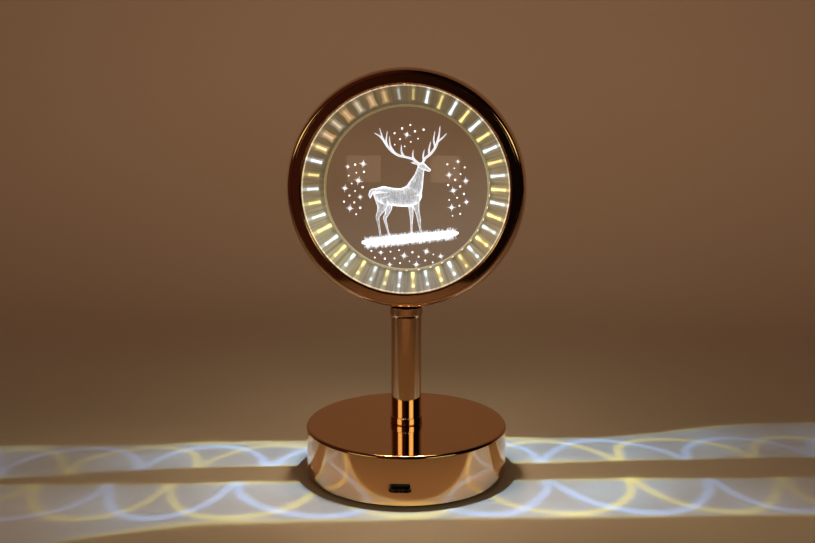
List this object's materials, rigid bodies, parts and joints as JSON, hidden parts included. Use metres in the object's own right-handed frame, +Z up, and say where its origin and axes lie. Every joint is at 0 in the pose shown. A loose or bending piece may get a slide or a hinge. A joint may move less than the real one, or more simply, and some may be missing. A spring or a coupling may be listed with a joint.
{
  "type": "touch lamp",
  "caption": "Touch lamp: a drum base with a charging port, a slim stem and a ring head that holds a thick edge-lit glass disc.",
  "frame": {"origin": "middle of the foot pad's underside, on the table", "axes": "+Z up the stem, -Y out of the front face of the glass and the charging port, +X to the right seen from the front"},
  "size_m": [0.104, 0.09, 0.1798],
  "materials": {
    "laser_white": "white laser marks inside the glass, lit from the rim",
    "plated_metal": "mirror-polished rose gold plating",
    "clear_glass": "clear, polished, bevelled",
    "clear_silicone": "translucent",
    "carrier_plastic": "moulded",
    "strip_film": "white flexible circuit",
    "warm_led": "phosphor, lit",
    "cool_led": "phosphor, lit",
    "resistor_black": "glazed",
    "zinc_steel": "zinc plated",
    "chassis_plastic": "fine grained",
    "foot_rubber": "matt",
    "ballast_steel": "rolled",
    "cell_foil": "satin pouch",
    "foam_grey": "closed-cell foam",
    "board_green": "solder mask",
    "chip_black": "moulded",
    "coil_grey": "ferrite",
    "capacitor_tan": "ceramic",
    "socket_nylon": "natural nylon",
    "spring_brass": "bright",
    "usb_steel": "bright",
    "red_insulation": "smooth",
    "black_insulation": "smooth",
    "yellow_insulation": "smooth",
    "white_insulation": "smooth"
  },
  "bodies": {
    "root": {"foot_pad": "foot_rubber", "base_cover": "plated_metal", "cover_posts": "zinc_steel", "base_chassis": "chassis_plastic", "chassis_screws": "zinc_steel", "ballast_plate": "ballast_steel", "ballast_screws": "zinc_steel", "main_board": "board_green", "board_screws": "zinc_steel", "usb_shell": "usb_steel", "usb_tongue": "chip_black", "charge_chip": "chip_black", "touch_chip": "chip_black", "power_coil": "coil_grey", "led_transistors": "chip_black", "board_capacitors": "capacitor_tan", "touch_contact": "spring_brass", "led_socket": "socket_nylon", "led_plug": "socket_nylon", "battery_socket": "socket_nylon", "battery_plug": "socket_nylon", "battery_cell": "cell_foil", "battery_pad": "foam_grey", "battery_lead_red": "red_insulation", "battery_lead_black": "black_insulation", "led_lead_warm": "yellow_insulation", "led_lead_common": "red_insulation", "led_lead_cool": "white_insulation", "lower_collar": "plated_metal", "stem_tube": "plated_metal", "upper_collar": "plated_metal", "draw_rod": "zinc_steel", "backing_washer": "zinc_steel", "lock_washer": "zinc_steel", "rod_nut": "zinc_steel", "ring_frame": "plated_metal", "front_bezel": "plated_metal", "engraved_glass": "clear_glass", "engraved_stag": "laser_white", "engraved_snow": "laser_white", "engraved_stars": "laser_white", "front_seal": "clear_silicone", "rear_seal": "clear_silicone", "led_carrier": "carrier_plastic", "led_strip": "strip_film", "warm_leds": "warm_led", "cool_leds": "cool_led", "strip_resistors": "resistor_black"}
  },
  "joints": []
}
